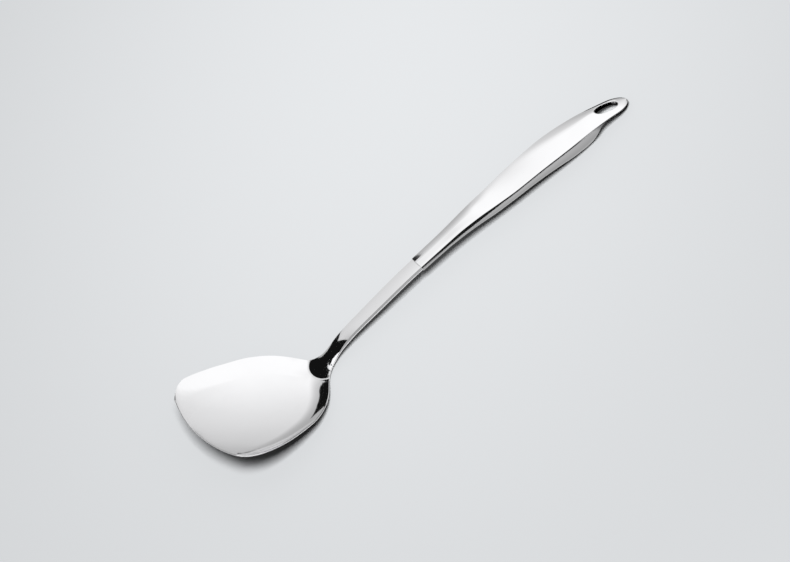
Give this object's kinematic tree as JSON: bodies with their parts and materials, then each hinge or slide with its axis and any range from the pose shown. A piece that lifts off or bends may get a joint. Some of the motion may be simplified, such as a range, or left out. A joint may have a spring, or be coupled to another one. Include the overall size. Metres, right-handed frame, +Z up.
{
  "type": "spatula",
  "caption": "Polished steel wok spatula with a shallow dished fan blade, steep neck, flat shank and a hollow shell handle that ends in a hang tab with an oval hole.",
  "frame": {"origin": "centre of the bounding box's footprint, on the table the tool lies on", "axes": "X along the tool, with the blade towards -X and the end of the handle towards +X; Z up from the table; Y across the blade"},
  "size_m": [0.3768, 0.1082, 0.0326],
  "materials": {
    "polished_head": "mirror polished stainless steel",
    "polished_handle_top_shell": "mirror polished stainless steel",
    "polished_handle_bottom_shell": "satin polished stainless steel"
  },
  "bodies": {
    "root": {"turner_head": "polished_head", "handle_top_shell": "polished_handle_top_shell", "handle_bottom_shell": "polished_handle_bottom_shell"}
  },
  "joints": []
}
